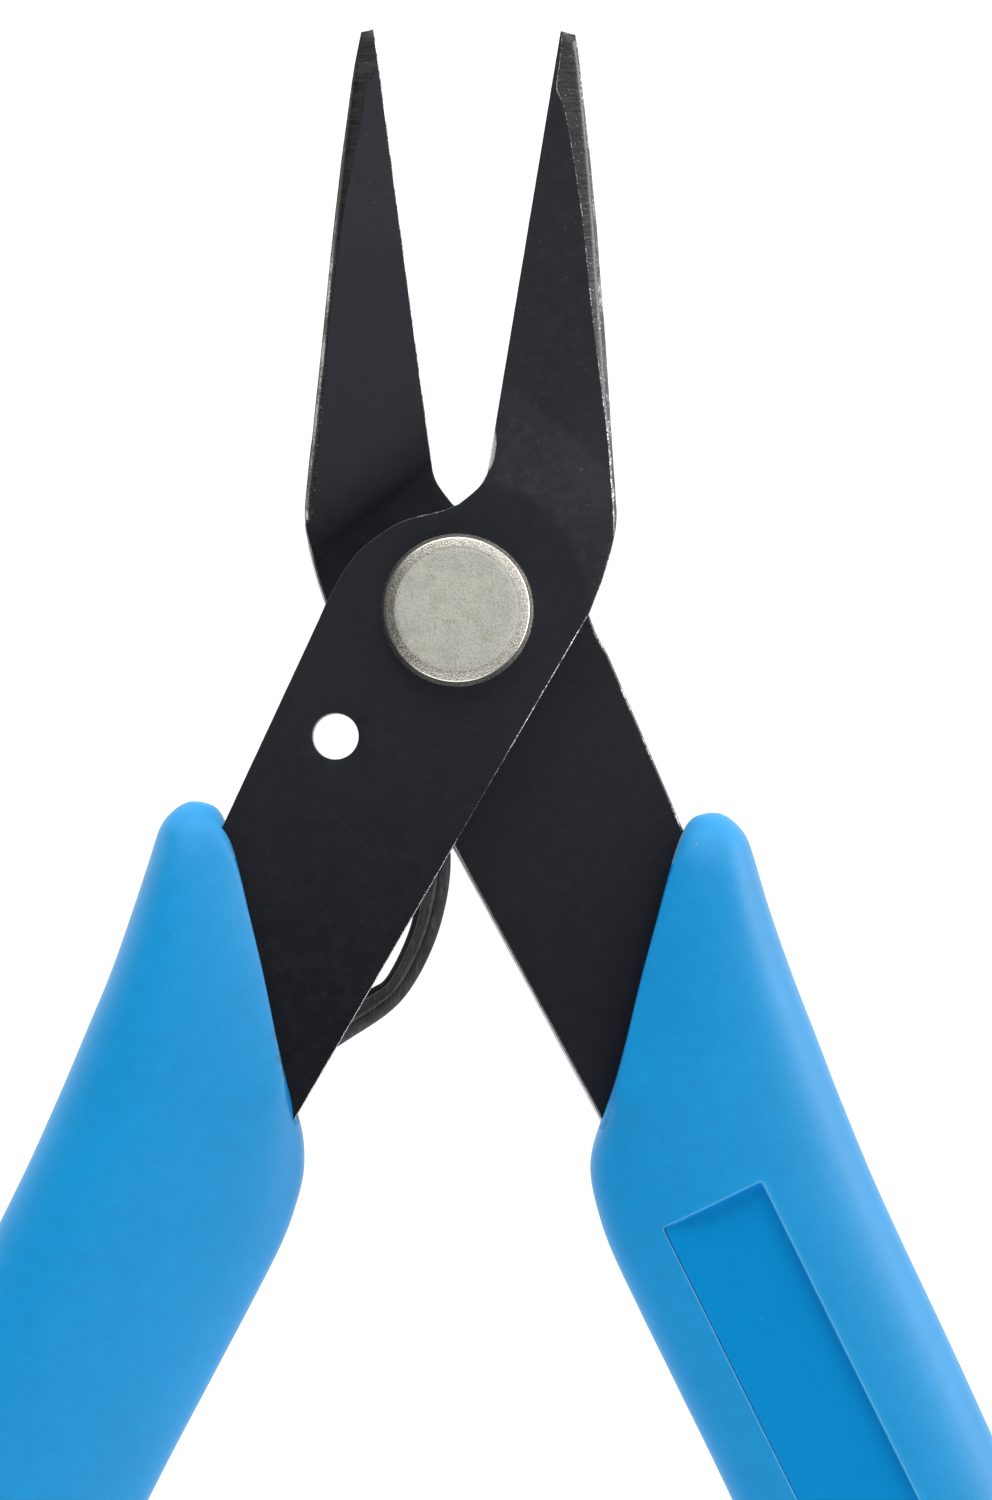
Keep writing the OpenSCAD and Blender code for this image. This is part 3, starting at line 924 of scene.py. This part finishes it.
def section(g):
    """Ring of a grip row: rounded sides, points closer together where it turns."""
    y, x0, x1, h, q0, q1, fall, lean = g
    cx, hw, hz = (x0 + x1) / 2, (x1 - x0) / 2, GRIP_H * h
    fine = []
    for i in range(1441):
        part, k = divmod(i % 1440, 360)
        up, out = 1 if part in (0, 1) else -1, 1 if part in (0, 3) else -1
        q = max(0.012, q1 if out > 0 else q0)
        corner = 0.5 ** q
        k = k / 360 if part in (0, 2) else 1 - k / 360
        if k < 0.5:
            z = corner * math.sin(math.pi * k)
            u = (1 - z ** (1 / q)) ** q
        else:
            u = corner * math.sin(math.pi * (1 - k))
            z = (1 - u ** (1 / q)) ** q
        u, z = out * u, up * hz * z
        z *= crown_tilt(y, u)
        if u < 0:
            z *= 1 - fall * abs(u) ** 2.2
        x = cx + hw * u
        if u < 0:
            x += 2.4 * lean * (1 - (z / hz) ** 2) * u ** 8 + lean * (1 - z / hz) / 2 * u ** 3
        fine.append((x, z))
    length = sum(math.dist(a, b) for a, b in zip(fine, fine[1:]))
    run = [0.0]
    for i in range(1440):
        a, b, c = fine[i - 1 if i else 1439], fine[i], fine[i + 1]
        turn = abs(math.remainder(math.atan2(c[1] - b[1], c[0] - b[0]) - math.atan2(b[1] - a[1], b[0] - a[0]), 2 * math.pi))
        run.append(run[-1] + math.dist(b, c) / length + 0.8 * min(turn, 0.4) / (2 * math.pi))
    out, k = [], 0
    for j in range(AROUND):
        s = run[-1] * j / AROUND
        while run[k + 1] < s:
            k += 1
        t = (s - run[k]) / max(run[k + 1] - run[k], 1e-12)
        out.append((lerp(fine[k][0], fine[k + 1][0], t), y, lerp(fine[k][1], fine[k + 1][1], t)))
    return out


def grip_top(rows, x, y):
    """Height of the grip's upper skin over a point in plan."""
    for a, b in zip(rows, rows[1:]):
        if b[0] <= y <= a[0]:
            t = (y - a[0]) / (b[0] - a[0])
            _, x0, x1, h, q0, q1, fall, lean = [lerp(p, q, t) for p, q in zip(a, b)]
            u = (x - (x0 + x1) / 2) / ((x1 - x0) / 2)
            q = max(0.012, q1 if u > 0 else q0)
            z = GRIP_H * h * max(0.0, 1 - abs(u) ** (1 / q)) ** q * crown_tilt(y, u)
            return z * (1 - fall * abs(u) ** 2.2) if u < 0 else z
    return 0.0


PANEL_AT, PANEL_TURN, PANEL_W, PANEL_L = (17.22, -38.65), math.radians(27.15), 7.15, 40.0


def panel_floor(x, y):
    """Height of the recess's flat floor, which leans like the crown around it."""
    across = (x - PANEL_AT[0]) * math.cos(PANEL_TURN) + (y - PANEL_AT[1]) * math.sin(PANEL_TURN)
    return 4.16 + 0.084 * across


def panel_loop(inset, corner, n=7):
    """Rounded rectangle of the recess, inset by so much, in plan."""
    out = []
    a, b = PANEL_W / 2 - inset, PANEL_L / 2 - inset
    r = max(corner - inset, 0.05)
    def side(p, q, count):
        return [(lerp(p[0], q[0], i / count), lerp(p[1], q[1], i / count)) for i in range(1, count)]
    corners = [(a - r, b - r, 0), (-a + r, b - r, 90), (-a + r, -b + r, 180), (a - r, -b + r, 270)]
    for k, (cx, cy, start) in enumerate(corners):
        arc = [(cx + r * math.cos(math.radians(start + 90 * i / (n - 1))),
                cy + r * math.sin(math.radians(start + 90 * i / (n - 1)))) for i in range(n)]
        out += arc
        nx, ny, ns = corners[(k + 1) % 4]
        first = (nx + r * math.cos(math.radians(ns)), ny + r * math.sin(math.radians(ns)))
        out += side(arc[-1], first, 12 if k % 2 == 0 else 56)
    c, s = math.cos(PANEL_TURN), math.sin(PANEL_TURN)
    mid = (PANEL_AT[0] + s * PANEL_L / 2, PANEL_AT[1] - c * PANEL_L / 2)
    return [(mid[0] + x * c - y * s, mid[1] + x * s + y * c) for x, y in out]


def build_grip_mesh(swell, cap):
    """Right grip in the pivot frame: lofted skin with a recessed panel in its upper side."""
    verts, faces, mats = [], [], []
    lines = [(g[0] - cap * smooth((g[0] + 17) / 3.5), g[1] - swell * smooth((-g[0] - 33.5) / 3), g[2] + swell * smooth((-g[0] - 18) / 8)) + tuple(g[3:])
             for g in GRIP_ROWS]
    for g in lines:
        verts += section(g)
    rows, m = len(lines), AROUND
    guard = panel_loop(-0.42, 0.24)
    cut = [z > 0 and inside(guard, x, y) for x, y, z in verts]
    border = {}
    for k in range(rows - 1):
        for j in range(m):
            q = [k * m + j, k * m + (j + 1) % m, (k + 1) * m + (j + 1) % m, (k + 1) * m + j]
            if any(cut[i] for i in q):
                for a, b in zip(q, q[1:] + q[:1]):
                    if (b, a) in border:
                        del border[(b, a)]
                    else:
                        border[(a, b)] = True
            else:
                faces.append(q)
                mats.append(0)
    verts.append(((lines[0][1] + lines[0][2]) / 2, lines[0][0] + 0.03, 0))
    faces += [[(j + 1) % m, j, len(verts) - 1] for j in range(m)]
    verts.append(((lines[-1][1] + lines[-1][2]) / 2, lines[-1][0], 0))
    faces += [[(rows - 1) * m + j, (rows - 1) * m + (j + 1) % m, len(verts) - 1] for j in range(m)]
    mats += [0] * (2 * m)
    nxt = dict(border.keys())
    first = next(iter(nxt))
    loop, k = [first], nxt[first]
    while k != first:
        loop.append(k)
        k = nxt[k]
    outer = [verts[i] for i in loop]
    rim = panel_loop(-0.13, 0.24)
    flat, tris, where = fill([outer, rim], [], [], lambda x, y: inside(outer, x, y) and not inside(rim, x, y))
    index = {}
    for i, v in enumerate(loop):
        index[where[i]] = v
    rim_ids = []
    for i, (x, y) in enumerate(rim):
        verts.append((x, y, grip_top(lines, x, y)))
        index[where[len(loop) + i]] = len(verts) - 1
        rim_ids.append(len(verts) - 1)
    for t in tris:
        tri = [index[i] for i in t]
        area = sum(flat[t[i]][0] * flat[t[(i + 1) % 3]][1] - flat[t[(i + 1) % 3]][0] * flat[t[i]][1] for i in range(3))
        if area < 0:
            tri.reverse()
        faces.append(tri)
        mats.append(0)
    chain = [rim_ids]
    tops = [verts[i][2] for i in rim_ids]
    for d, fall in ((-0.105, -0.010), (-0.065, -0.033), (-0.020, -0.044), (0.020, -0.028), (0.046, 0.010), (0.062, 0.062), (0.070, 0.13)):
        chain.append([])
        for (x, y), z in zip(panel_loop(d, 0.24), tops):
            verts.append((x, y, z - fall))
            chain[-1].append(len(verts) - 1)
    for d, rise in ((0.10, 0.075), (0.118, 0.032), (0.16, 0.006), (0.21, 0.0)):
        chain.append([])
        for x, y in panel_loop(d, 0.30):
            verts.append((x, y, panel_floor(x, y) + rise))
            chain[-1].append(len(verts) - 1)
    count = len(rim_ids)
    for lvl, (upper, lower) in enumerate(zip(chain, chain[1:])):
        for i in range(count):
            j = (i + 1) % count
            faces.append([upper[i], upper[j], lower[j], lower[i]])
            mats.append(1 if lvl >= 5 else 0)
    ring = [verts[i] for i in chain[-1]]
    c, s = math.cos(PANEL_TURN), math.sin(PANEL_TURN)
    free = []
    for i in range(-2, 3):
        for j in range(1, 28):
            u, v = i * 1.25, j * PANEL_L / 28
            free.append((PANEL_AT[0] + u * c + v * s, PANEL_AT[1] + u * s - v * c))
    flat, tris, where = fill([ring], [], free, lambda x, y: inside(ring, x, y))
    index = {where[i]: chain[-1][i] for i in range(count)}
    for t in tris:
        for i in t:
            if i not in index:
                verts.append((flat[i][0], flat[i][1], panel_floor(*flat[i])))
                index[i] = len(verts) - 1
        tri = [index[i] for i in t]
        area = sum(flat[t[i]][0] * flat[t[(i + 1) % 3]][1] - flat[t[(i + 1) % 3]][0] * flat[t[i]][1] for i in range(3))
        if area < 0:
            tri.reverse()
        faces.append(tri)
        mats.append(1)
    keep = sorted({i for f in faces for i in f})
    back = {old: new for new, old in enumerate(keep)}
    return [verts[i] for i in keep], [[back[i] for i in f] for f in faces], mats


def prism(points, z0, z1):
    n = len(points)
    verts = [(x, y, z0) for x, y in points] + [(x, y, z1) for x, y in points]
    faces = [list(range(n - 1, -1, -1)), list(range(n, 2 * n))]
    faces += [[i, (i + 1) % n, n + (i + 1) % n, n + i] for i in range(n)]
    return verts, faces


def cut_out(o, verts, faces):
    """Takes a closed shape out of a piece."""
    mesh = bpy.data.meshes.new("cut")
    mesh.from_pydata([put(*v) for v in verts], [], faces)
    tool = bpy.data.objects.new("cut", mesh)
    bpy.context.scene.collection.objects.link(tool)
    b = o.modifiers.new("cut", "BOOLEAN")
    b.operation, b.solver, b.object = "DIFFERENCE", "EXACT", tool
    bpy.context.view_layer.update()
    done = bpy.data.meshes.new_from_object(o.evaluated_get(bpy.context.evaluated_depsgraph_get()))
    o.modifiers.remove(b)
    old = o.data
    o.data = done
    bpy.data.objects.remove(tool)
    bpy.data.meshes.remove(mesh)
    bpy.data.meshes.remove(old)


def mark_lip_dirt_shade_and_rim_highlight(o, side):
    """Marks the lip where the blade leaves the grip for a little dirt and a thin line of painted shade, marks a painted
    highlight along the recess rim, and gives the steep lip walls the darker panel rubber as painted shade.
    """
    a = o.data.attributes.get("dirt_and_painted_shade") or o.data.attributes.new("dirt_and_painted_shade", "FLOAT", "POINT")
    line = [(-14.2, 15.1), (-17, 14.1), (-24, 12.3), (-31.5, 10.5), (-33.6, 9.95)]
    much = 1.0 if side < 0 else 0.35
    lip = [(p[1], p[0]) for p in line]
    c, s = math.cos(PANEL_TURN), math.sin(PANEL_TURN)
    mid = (PANEL_AT[0] + s * PANEL_L / 2, PANEL_AT[1] - c * PANEL_L / 2)
    rim_highlight = o.data.attributes.new("rim_highlight", "FLOAT", "POINT")
    vals, rim_highlight_values = [], []
    for v in o.data.vertices:
        x, y, z = v.co.x * 1000 * side, v.co.y * 1000 - SHIFT_Y, v.co.z * 1000 - SHIFT_Z
        d = near_line(lip, x, y)[0]
        u = abs((x - mid[0]) * c + (y - mid[1]) * s) - PANEL_W / 2 + 0.24
        v = abs((y - mid[1]) * c - (x - mid[0]) * s) - PANEL_L / 2 + 0.24
        e = math.hypot(max(u, 0), max(v, 0)) + min(max(u, v), 0) - 0.24
        # painted highlight on the bead around the recess
        rim_highlight_values.append(smooth((0.085 - e) / 0.065) * smooth((e + 0.055) / 0.04) if z * side > 3 else 0.0)
        # dirt smudge near y -29.4, and a thin line of painted shade along the whole lip
        vals.append(much * max(smooth(1 - d / 0.6) * smooth(1.6 - abs(y + 29.4) / 1.5), 0.5 * smooth(1 - d / 0.16)))
    a.data.foreach_set("value", vals)
    rim_highlight.data.foreach_set("value", rim_highlight_values)
    # painted shade: steep lip walls beside the blade take the darker panel rubber
    for p in o.data.polygons:
        if abs(p.normal.z) < 0.6 and p.center.y * 1000 - SHIFT_Y < -16.5 and near_line(lip, p.center.x * 1000 * side, p.center.y * 1000 - SHIFT_Y)[0] < 0.4:
            p.material_index = 1


def finish_grip(o):
    for p in o.data.polygons:
        p.use_smooth = True
    o.data.set_sharp_from_angle(angle=math.radians(38))
    w = o.modifiers.new("face_weight", "WEIGHTED_NORMAL")
    w.keep_sharp = True


grip_verts, grip_faces, grip_mats = build_grip_mesh(0.12, 0.19)
right_grip = new_object("right_grip_rubber", grip_verts, grip_faces, [RUBBER, PANEL], grip_mats, None, 38, None, False)
grip_verts, grip_faces, grip_mats = build_grip_mesh(-0.10, -0.05)
left_grip = new_object("left_grip_rubber", [(-x, y, -z) for x, y, z in grip_verts], grip_faces,
                       [RUBBER, PANEL], grip_mats, None, 38, None, False)

slot_line = spaced([BOSS[-1], TANG[0]], 3.0)[:-1] + curve(TANG, 4) + [(8.2, -1)]
slot_mitre = normals_of(slot_line)
slot_poly = [(p[0] + m[0] * 0.03, p[1] + m[1] * 0.03) for p, m in zip(slot_line, slot_mitre)]
lo_z, hi_z = HALF_FILM - 0.03, PLATE_T + 0.03
cut_out(left_grip, *prism(slot_poly, lo_z, hi_z))
cut_out(right_grip, *prism([(-x, y) for x, y in reversed(slot_poly)], -hi_z, -lo_z))


# ------------------------------------------------------------------ spring
# outer and inner edge of the leaf, from the root in the grip to the foot
LEAF_EDGES = [(-18, -35.8, -19, -34.2), (-14.5, -33.65, -15.5, -32), (-10.5, -31.1, -11.55, -29.4),
              (-7.3, -28.82, -8.4, -27.1), (-5.42, -27.58, -6.35, -25.72), (-4.37, -26.83, -5.3, -25.03),
              (-3.46, -26, -4.66, -24.65), (-2.74, -25.08, -4.2, -24.05), (-2.02, -23.86, -3.62, -22.95),
              (-1.37, -22.44, -3.07, -21.65), (-0.87, -21.02, -2.72, -20.5), (-0.5, -19.5, -2.48, -19.25),
              (-0.29, -18.2, -2.3, -18.1), (-0.2, -16.9, -2.2, -16.95), (-0.3, -15.55, -2.24, -15.85), (-1, -14.1, -2.7, -14.95)]
# section of the leaf: towards the inside of the bend, height, painted highlight,
# painted shade; the top has a groove beside a raised line, and the inside has a lower ledge
LEAF = [(-0.95, -1.90, 0, 1), (-0.95, -1.3, 0, 1), (-0.95, -0.62, 0, 1), (-0.93, -0.46, 0, 0.9), (-0.87, -0.36, 0.35, 0.4),
        (-0.77, -0.305, 0.2, 0.3), (-0.5, -0.28, 0, 0.35), (-0.32, -0.275, 0, 0.45), (-0.25, -0.30, 0, 0.9),
        (-0.20, -0.33, 0, 1), (-0.15, -0.30, 0, 0.6), (-0.10, -0.245, 0.7, 0), (-0.05, -0.225, 1, 0), (0.0, -0.235, 0.9, 0),
        (0.05, -0.27, 0.2, 0), (0.20, -0.28, 0, 0), (0.44, -0.29, 0.1, 0), (0.53, -0.32, 0.35, 0), (0.575, -0.385, 0, 0.5),
        (0.59, -0.52, 0, 1), (0.60, -0.90, 0, 1), (0.63, -0.985, 0, 1), (0.70, -1.01, 0, 0.9), (0.80, -1.02, 0.1, 0.3),
        (0.89, -1.05, 0.35, 0), (0.94, -1.13, 0.35, 0), (0.95, -1.5, 0, 0.5), (0.95, -1.92, 0, 1), (0.92, -2.05, 0, 1),
        (0.84, -2.13, 0, 1), (0.72, -2.15, 0, 1), (0.0, -2.15, 0, 1), (-0.72, -2.15, 0, 1), (-0.85, -2.12, 0, 1), (-0.93, -2.04, 0, 1)]


def build_spring():
    rows = spaced(curve(LEAF_EDGES, 12), 0.2)
    verts, faces, painted_highlight, shade = [], [], [], []
    m = len(LEAF)
    ends = [(r, 0.0, 1.0) for r in rows]
    ends += [(rows[-1], 0.95 * math.sin(math.radians(86 * i / 8)), math.cos(math.radians(86 * i / 8))) for i in range(1, 9)]
    a, b = rows[-2], rows[-1]
    d = Vector((b[0] + b[2] - a[0] - a[2], b[1] + b[3] - a[1] - a[3])).normalized()
    for (ox, oy, ix, iy), ahead, k in ends:
        cx, cy = (ox + ix) / 2 + d[0] * ahead, (oy + iy) / 2 + d[1] * ahead
        hx, hy = (ix - ox) / 2 * k, (iy - oy) / 2 * k
        for q, z, pale, dark in LEAF:
            verts.append((cx + hx * q / 0.95, cy + hy * q / 0.95, lerp(-1.2, z, 0.25 + 0.75 * k ** 0.5)))
            painted_highlight.append(pale)
            shade.append(dark)
    for i in range(len(ends) - 1):
        for j in range(m):
            k = (j + 1) % m
            faces.append([i * m + j, i * m + k, (i + 1) * m + k, (i + 1) * m + j])
    faces.append(list(range(m)))
    faces[-1].reverse()
    faces.append([(len(ends) - 1) * m + j for j in range(m)])
    return new_object("return_spring_plastic", verts, faces, [SPRING], None, None, 40, {"painted_highlight": painted_highlight, "shade": shade}, False)


spring = build_spring()
bm = bmesh.new()
bm.from_mesh(spring.data)
bmesh.ops.recalc_face_normals(bm, faces=bm.faces)
bm.to_mesh(spring.data)
bm.free()

root = spaced(curve(LEAF_EDGES, 12), 1.0)[:16]
root_poly = [(lerp(i, o, 1.03), lerp(j, p, 1.03)) for o, p, i, j in root] \
    + [(lerp(o, i, 1.03), lerp(p, j, 1.03)) for o, p, i, j in reversed(root)]
cut_out(left_grip, *prism(root_poly, -2.19, -0.2))
for o, side in ((left_grip, -1), (right_grip, 1)):
    mark_lip_dirt_shade_and_rim_highlight(o, side)
    finish_grip(o)

# ------------------------------------------------------- riding
for piece, body, node, slot in (
        (front_blade, "front_lever", "front_blade", "blade_steel"),
        (rear_blade, "rear_lever", "rear_blade", "blade_steel"),
        (rivet, "front_lever", "pivot_rivet", "rivet_steel"),
        (washer, "front_lever", "rivet_washer", "rivet_steel"),
        (left_grip, "front_lever", "left_grip", "grip_rubber"),
        (right_grip, "rear_lever", "right_grip", "grip_rubber")):
    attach(piece, body)
    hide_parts(node)
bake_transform(spring)
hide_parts("return_spring")

# ------------------------------------------------------------------- stage
floor_mesh = bpy.data.meshes.new("floor")
floor_mesh.from_pydata([(-1.6, -1.6, -0.0004), (1.6, -1.6, -0.0004), (1.6, 1.6, -0.0004), (-1.6, 1.6, -0.0004)], [], [[0, 1, 2, 3]])
floor = bpy.data.objects.new("floor", floor_mesh)
bpy.context.scene.collection.objects.link(floor)
fm = Nodes("pale_floor")
floor_shader = fm.add("ShaderNodeBsdfPrincipled")
floor_shader.inputs["Base Color"].default_value = rgb(0.12, 0.12, 0.12)
floor_shader.inputs["Roughness"].default_value = 0.9
floor_shader.inputs["Specular IOR Level"].default_value = 0.1
floor_shader.inputs["Emission Color"].default_value = rgb(1, 1, 1)
side = fm.add("ShaderNodeSeparateXYZ")
fm.put(side.inputs[0], fm.co)
fm.put(floor_shader.inputs["Emission Strength"], fm.span(side.outputs["X"], -0.02, 0.07, 1.04, 1.26))
see = fm.add("ShaderNodeBsdfTransparent")
pick = fm.add("ShaderNodeMixShader")
fm.put(pick.inputs[0], fm.add("ShaderNodeNewGeometry").outputs["Backfacing"])
fm.tree.links.new(floor_shader.outputs[0], pick.inputs[1])
fm.tree.links.new(see.outputs[0], pick.inputs[2])
fm.tree.links.new(pick.outputs[0], fm.out.inputs["Surface"])
floor_mesh.materials.append(fm.mat)

world = bpy.data.worlds.new("studio")
bpy.context.scene.world = world
world.use_nodes = True
wt = world.node_tree
sky = wt.nodes["Background"]
way = wt.nodes.new("ShaderNodeSeparateXYZ")
wt.links.new(wt.nodes.new("ShaderNodeTexCoord").outputs["Generated"], way.inputs[0])
half = wt.nodes.new("ShaderNodeMapRange")
half.inputs["From Min"].default_value = -1.0
wt.links.new(way.outputs["X"], half.inputs["Value"])
tone = wt.nodes.new("ShaderNodeValToRGB")
tone.color_ramp.elements.remove(tone.color_ramp.elements[1])
for k, (at, v) in enumerate(((0.24, 0.0), (0.40, 0.09), (0.485, 0.55), (0.52, 0.715), (0.64, 0.685), (1.0, 0.50))):
    e = tone.color_ramp.elements[0] if k == 0 else tone.color_ramp.elements.new(at)
    e.position = at
    e.color = (v * 0.985, v * 0.99, v, 1)
wt.links.new(half.outputs["Result"], tone.inputs["Fac"])
wt.links.new(tone.outputs["Color"], sky.inputs["Color"])
depth = wt.nodes.new("ShaderNodeMapRange")
depth.inputs["From Min"].default_value = -1.0
wt.links.new(way.outputs["Y"], depth.inputs["Value"])
deep = wt.nodes.new("ShaderNodeValToRGB")
deep.color_ramp.elements.remove(deep.color_ramp.elements[1])
for k, (at, v) in enumerate(((0.22, 0.24), (0.36, 0.36), (0.46, 0.62), (0.54, 0.70), (0.66, 0.66), (0.82, 0.58))):
    e = deep.color_ramp.elements[0] if k == 0 else deep.color_ramp.elements.new(at)
    e.position = at
    e.color = (v, v, v, 1)
wt.links.new(depth.outputs["Result"], deep.inputs["Fac"])
lift = wt.nodes.new("ShaderNodeMath")
lift.operation = "MULTIPLY"
lift.inputs[1].default_value = 1.5
wt.links.new(deep.outputs["Color"], lift.inputs[0])
wt.links.new(lift.outputs[0], sky.inputs["Strength"])


def softbox(name, at, aim, size_x, size_y, power, tint=(1, 1, 1)):
    data = bpy.data.lights.new(name, "AREA")
    data.shape = "RECTANGLE"
    data.size, data.size_y, data.energy, data.color = size_x, size_y, power, tint
    o = bpy.data.objects.new(name, data)
    bpy.context.scene.collection.objects.link(o)
    o.location = at
    o.rotation_euler = (Vector(aim) - Vector(at)).to_track_quat("-Z", "Y").to_euler()
    return o


softbox("key_right", (0.70, 0.24, 0.23), (0, 0, 0), 1.0, 0.45, 0.06)
edge_right = softbox("edge_right", (0.72, 0.16, 0.13), (0, 0, 0), 1.1, 0.26, 11.0)
edge_right.visible_diffuse = False
softbox("fill_back", (-0.08, 0.84, 0.32), (0, 0, 0), 0.9, 0.6, 7.6)
softbox("fill_front", (-0.08, -0.76, 0.40), (0, 0, 0), 0.9, 0.6, 5.6)

# ------------------------------------------------------------------ camera
cam_data = bpy.data.cameras.new("camera")
cam = bpy.data.objects.new("camera", cam_data)
bpy.context.scene.collection.objects.link(cam)
turn = math.radians(0.85)
aim = Vector(put(2.70, -9.17, 2.4))
stand = Vector(put(2.3, -15.5, 2.4))
reach = 0.320
cam.location = (stand.x, stand.y, stand.z + reach)
cam_data.sensor_width = 36.0
cam_data.lens = 36.0 * reach / 0.09868
look = (aim - cam.location).normalized()
up = Vector((-math.sin(turn), math.cos(turn), 0))
right = look.cross(up).normalized()
up = right.cross(look).normalized()
cam.rotation_mode = "QUATERNION"
from mathutils import Matrix
cam.rotation_quaternion = Matrix((right, up, -look)).transposed().to_quaternion()
cam_data.clip_start, cam_data.clip_end = 0.01, 20
bpy.context.scene.camera = cam

bpy.context.scene.view_settings.view_transform = "Standard"
bpy.context.scene.view_settings.look = "None"
bpy.context.scene.view_settings.exposure = 0.0
